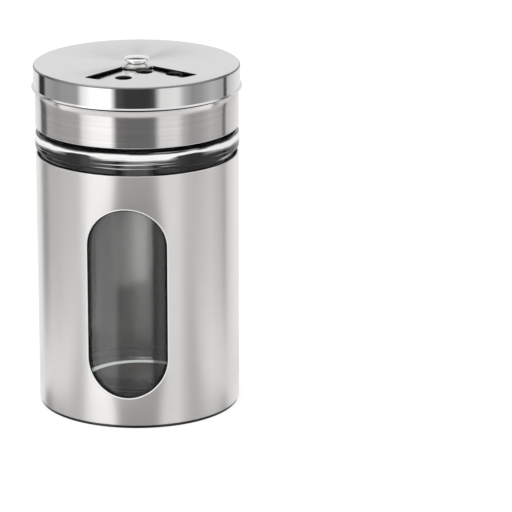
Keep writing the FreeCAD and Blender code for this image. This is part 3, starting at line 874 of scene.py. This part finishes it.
def build_pieces():
    """Every piece with its body, node, slot and material."""
    sleeve_steel = brushed_steel("sleeve_steel", (0.88, 0.865, 0.845), 0.32, 0.85, 0.15, haze=0.20)
    lid_steel = brushed_steel("lid_steel", (0.735, 0.72, 0.71), 0.15, 0.92, 0.1, haze=0.14, streaks=0.14)
    # The dial's top carries a painted sheen of darker rays
    dial_steel = brushed_steel("dial_steel", (0.80, 0.795, 0.79), 0.12, 0.92, 0.15, rays=True)
    deck_steel = brushed_steel("deck_steel", (0.80, 0.795, 0.79), 0.14, 0.3, 0.05)
    # Painted shade: the base dish is nearly black, standing in for the shadowed gap and contact shadow at the
    # foot
    base_steel = brushed_steel("base_steel", (0.08, 0.078, 0.075), 0.35, 0.5, 0.2)
    edge_steel = brushed_steel("edge_steel", (0.55, 0.55, 0.54), 0.3, 0.0, 0.1)
    # Painted shade: near-black steel for undersides, hidden walls, the dial's fan edges, the window's cut
    # walls and the dark line inside the window
    painted_shade_steel = brushed_steel("painted_shade_steel", (0.02, 0.02, 0.02), 0.5, 0.0, 0.1)
    # Painted dark reflection: dark steel on the rounding of the dial's top edge
    brow_painted_dark_steel = brushed_steel("brow_painted_dark_steel", (0.22, 0.22, 0.215), 0.3, 0.3, 0.1)
    # Painted light: pale, mostly matte steel on the flank of the dial's boss, a white band in place of its
    # reflections
    pale_painted_steel = brushed_steel("pale_painted_steel", (0.9, 0.9, 0.89), 0.25, 0.0, 0.05, haze=0.6, streaks=0.0)
    # Painted highlight: white, mostly matte steel on the window's rim bead and on the lid's lower lip
    painted_highlight_steel = brushed_steel("painted_highlight_steel", (1.0, 1.0, 0.99), 0.3, 0.0, 0.05, haze=0.75, streaks=0.0)
    chrome = polished_steel("rivet_chrome", (0.98, 0.98, 0.98))
    glass = clear_glass("jar_glass")
    liner_plastic = moulded_plastic("liner_plastic", (0.045, 0.045, 0.05), 0.45)
    lid_steels = [lid_steel, edge_steel, painted_shade_steel, deck_steel, painted_highlight_steel]
    dial_steels = [dial_steel, edge_steel, painted_shade_steel, brow_painted_dark_steel, pale_painted_steel]
    base_plate = make_base_plate()
    # The window's cut walls take painted shade; its rim bead takes a painted highlight; the dark line inside
    # it is painted shade
    sleeve = make_sleeve([sleeve_steel, painted_shade_steel])
    window_rim = make_window_line("window_rim", 0, RIM_DEPTH, RIM)
    window_shade_line = make_window_line("window_shade_line", SHADE_LINE, SHEET, SHADE_LINE)
    rows = [
        (base_plate, "jar", "base_plate", "base_steel", [base_steel]),
        (sleeve, "jar", "outer_sleeve", "sleeve_steel", None),
        (window_rim, "jar", "outer_sleeve", "sleeve_steel", [painted_highlight_steel]),
        (window_shade_line, "jar", "outer_sleeve", "sleeve_steel", [painted_shade_steel]),
        (make_jar(), "jar", "glass_jar", "jar_glass", [glass]),
        (make_liner(), "lid", "thread_liner", "liner_plastic", [liner_plastic]),
        (make_lid(lid_steels), "lid", "lid_shell", "lid_steel", None),
        (make_dial(dial_steels), "dial", "rotating_cover", "dial_steel", None),
        (make_rivet(), "pivot", "pivot_rivet", "rivet_chrome", [chrome]),
    ]
    for piece, body, node, slot, materials in rows:
        for material in materials or []:
            piece.data.materials.append(material)
        settle(piece, body, node)


def finish_hidden_nodes():
    """Materials of the small pieces that keep their own meshes."""
    finishes = {
        "seal_ring": moulded_plastic("seal_silicone", (0.78, 0.78, 0.75), 0.5),
        "spacer_washer": moulded_plastic("spacer_nylon", (0.72, 0.72, 0.69), 0.45),
        "spring_washer": brushed_steel("spring_steel", (0.62, 0.62, 0.62), 0.3, 0.6, 0.2),
        "back_washer": brushed_steel("washer_steel", (0.66, 0.66, 0.66), 0.35, 0.6, 0.2),
    }
    for node, material in finishes.items():
        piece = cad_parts[node]
        piece.data.materials.clear()
        piece.data.materials.append(material)
        piece.data.shade_smooth()


# Studio
# Brightness seen around the object, by degrees from the front towards +X
PANELS = [
    (-180, 0.88), (-152, 0.88), (-140, 0.80), (-135, 0.03), (-124, 0.03), (-119, 0.42), (-110, 0.38),
    (-99, 0.32), (-90, 0.36), (-68, 0.38), (-62, 0.95), (-50, 1.30), (-28, 1.40), (-21, 0.08),
    (-10, 0.03), (15, 0.03), (21, 0.08), (28, 0.85), (48, 0.92), (56, 0.50), (66, 0.30), (78, 0.36),
    (94, 0.54), (107, 0.45), (113, 0.45), (116, 0.05), (120, 0.05), (122, 0.58), (135, 0.75),
    (152, 0.88), (180, 0.88),
]
# Brightness overhead, by degrees from the back over the top to the front
CEILING = [
    (0, 0.84), (29, 0.82), (35, 0.12), (46, 0.12), (54, 0.90), (70, 1.12), (125, 1.12), (150, 0.85),
    (180, 0.80),
]
CEILING_EDGE = (-0.05, 0.06)
# Below these directions it is dark
GROUND_EDGE = (-0.42, -0.60)
GROUND_LEVEL = 0.05
# What is seen through the glass: its share and its level
THROUGH_GLASS = (0.7, 0.85)

# Floor: half its size, its paint, its glow and the glow's share
FLOOR_HALF = 3.0
FLOOR_PAINT = (0.9, 0.9, 0.9, 1)
FLOOR_GLOW = 1.12
GLOW_SHARE = 0.72
# The ring of floor that steel reflects: inner edge, outer edge
FLOOR_NEAR = (0.048, 0.040)
FLOOR_FAR = (0.06, 0.16)
# The part ahead of the object that steel does not reflect
AHEAD_SLOPE = 2.0
AHEAD_EDGE = 0.02

# Lamp: place, size, energy and what it looks at
LAMP_PLACE = (-0.7, -0.5, 0.9)
LAMP_SIZE = 0.6
LAMP_ENERGY = 1.6
LAMP_AIM = (0, 0, 0.055)


def angle_ramp(tree, across, along, low, high, stops):
    """A grey ramp over the angle of two direction parts, its stops in degrees."""
    angle = add(tree, "ShaderNodeMath", [(0, across), (1, along)], operation="ARCTAN2")
    share = add(tree, "ShaderNodeMapRange", [("Value", angle.outputs[0]), ("From Min", math.radians(low)),
                                             ("From Max", math.radians(high))])
    ramp = add(tree, "ShaderNodeValToRGB", [(0, share.outputs[0])])
    elements = ramp.color_ramp.elements
    while len(elements) > 1:
        elements.remove(elements[-1])
    peak = max(level for degrees, level in stops)
    for number, (degrees, level) in enumerate(stops):
        place = (degrees - low) / (high - low)
        stop = elements[0] if number == 0 else elements.new(place)
        stop.position = place
        stop.color = (level / peak,) * 3 + (1,)
    return add(tree, "ShaderNodeVectorMath", [(0, ramp.outputs[0]), ("Scale", peak)],
               operation="SCALE").outputs[0]


def make_world():
    """White to the camera; pale and dark panels around the object for the steel and the glass."""
    world = bpy.data.worlds.new("studio")
    bpy.context.scene.world = world
    world.use_nodes = True
    tree = world.node_tree
    tree.nodes.clear()
    direction = add(tree, "ShaderNodeTexCoord").outputs["Generated"]
    x, y, z = add(tree, "ShaderNodeSeparateXYZ", [(0, direction)]).outputs
    front = math_node(tree, "MULTIPLY", y, -1.0)
    panels = angle_ramp(tree, x, front, -180, 180, PANELS)
    ceiling = angle_ramp(tree, math_node(tree, "MAXIMUM", z, 0.0), y, 0, 180, CEILING)
    above = ramped(tree, z, *CEILING_EDGE)
    below = ramped(tree, z, *GROUND_EDGE)
    ground = (GROUND_LEVEL,) * 3 + (1,)
    upper = add(tree, "ShaderNodeMix", [("Factor", above), ("A", panels), ("B", ceiling)], data_type="RGBA")
    studio = add(tree, "ShaderNodeMix", [("Factor", below), ("A", upper.outputs[2]), ("B", ground)],
                 data_type="RGBA")
    path = add(tree, "ShaderNodeLightPath")
    share, level = THROUGH_GLASS
    lifted = math_node(tree, "MULTIPLY", math_node(tree, "SUBTRACT", 1.0, below), share)
    through = math_node(tree, "MULTIPLY", path.outputs["Is Transmission Ray"], lifted)
    clear = add(tree, "ShaderNodeMix", [("Factor", through), ("A", studio.outputs[2]),
                                        ("B", (level,) * 3 + (1,))], data_type="RGBA")
    seen = add(tree, "ShaderNodeMix", [("Factor", path.outputs["Is Camera Ray"]), ("A", clear.outputs[2]),
                                       ("B", (1, 1, 1, 1))], data_type="RGBA")
    background = add(tree, "ShaderNodeBackground", [("Color", seen.outputs[2]), ("Strength", 1.0)])
    output = add(tree, "ShaderNodeOutputWorld")
    tree.links.new(background.outputs[0], output.inputs[0])


def make_floor():
    """White floor that keeps a faint shadow; the steel reflects only the part close to the object."""
    half = FLOOR_HALF
    data = bpy.data.meshes.new("floor")
    data.from_pydata([(-half, -half, 0), (half, -half, 0), (half, half, 0), (-half, half, 0)], [],
                     [(0, 1, 2, 3)])
    floor = bpy.data.objects.new("floor", data)
    bpy.context.scene.collection.objects.link(floor)
    material, tree, output, coordinates = new_material("floor_white")
    path = add(tree, "ShaderNodeLightPath")
    lit = add(tree, "ShaderNodeBsdfDiffuse", [("Color", FLOOR_PAINT)])
    glow = add(tree, "ShaderNodeEmission", [("Color", (1, 1, 1, 1)), ("Strength", FLOOR_GLOW)])
    amount = math_node(tree, "MULTIPLY", path.outputs["Is Camera Ray"], GLOW_SHARE)
    white = add(tree, "ShaderNodeMixShader", [(0, amount), (1, lit.outputs[0]), (2, glow.outputs[0])])
    hidden = floor_hidden(tree, path, coordinates)
    nothing = add(tree, "ShaderNodeBsdfTransparent")
    mixed = add(tree, "ShaderNodeMixShader", [(0, hidden), (1, white.outputs[0]), (2, nothing.outputs[0])])
    tree.links.new(mixed.outputs[0], output.inputs[0])
    data.materials.append(material)


def floor_hidden(tree, path, coordinates):
    """Where the floor is not seen: through glass, and in steel away from the object or ahead of it."""
    distance = add(tree, "ShaderNodeVectorMath", [(0, coordinates)], operation="LENGTH").outputs["Value"]
    near = ramped(tree, distance, *FLOOR_NEAR)
    outside = math_node(tree, "MAXIMUM", near, ramped(tree, distance, *FLOOR_FAR))
    x, y = add(tree, "ShaderNodeSeparateXYZ", [(0, coordinates)]).outputs[:2]
    aside = add(tree, "ShaderNodeMath", [(0, x)], operation="ABSOLUTE").outputs[0]
    forward = math_node(tree, "MULTIPLY", y, -AHEAD_SLOPE)
    ahead = ramped(tree, math_node(tree, "SUBTRACT", forward, aside), -AHEAD_EDGE, AHEAD_EDGE)
    direct = math_node(tree, "LESS_THAN", path.outputs["Transmission Depth"], 0.5)
    hushed = math_node(tree, "MULTIPLY", ahead, direct)
    in_steel = math_node(tree, "MULTIPLY", path.outputs["Is Glossy Ray"],
                         math_node(tree, "MAXIMUM", outside, hushed))
    return math_node(tree, "MAXIMUM", path.outputs["Is Transmission Ray"], in_steel)


def make_lamp():
    """A soft square lamp that looks at the middle of the object."""
    data = bpy.data.lights.new("key", "AREA")
    data.size = LAMP_SIZE
    data.energy = LAMP_ENERGY
    lamp = bpy.data.objects.new("key", data)
    bpy.context.scene.collection.objects.link(lamp)
    lamp.location = LAMP_PLACE
    aim = Vector(LAMP_AIM) - Vector(LAMP_PLACE)
    lamp.rotation_euler = aim.to_track_quat("-Z", "Y").to_euler()
    lamp.visible_camera = False


def make_camera():
    """The photograph's viewpoint."""
    data = bpy.data.cameras.new("camera")
    data.sensor_width = 36.0
    data.lens = CAMERA_LENS
    camera = bpy.data.objects.new("camera", data)
    bpy.context.scene.collection.objects.link(camera)
    camera.location = CAMERA_PLACE
    camera.rotation_euler = (math.pi / 2 - CAMERA_PITCH, 0, 0)
    bpy.context.scene.camera = camera


make_camera()
make_world()
make_floor()
make_lamp()
bpy.context.scene.view_settings.view_transform = "Standard"
build_pieces()
finish_hidden_nodes()
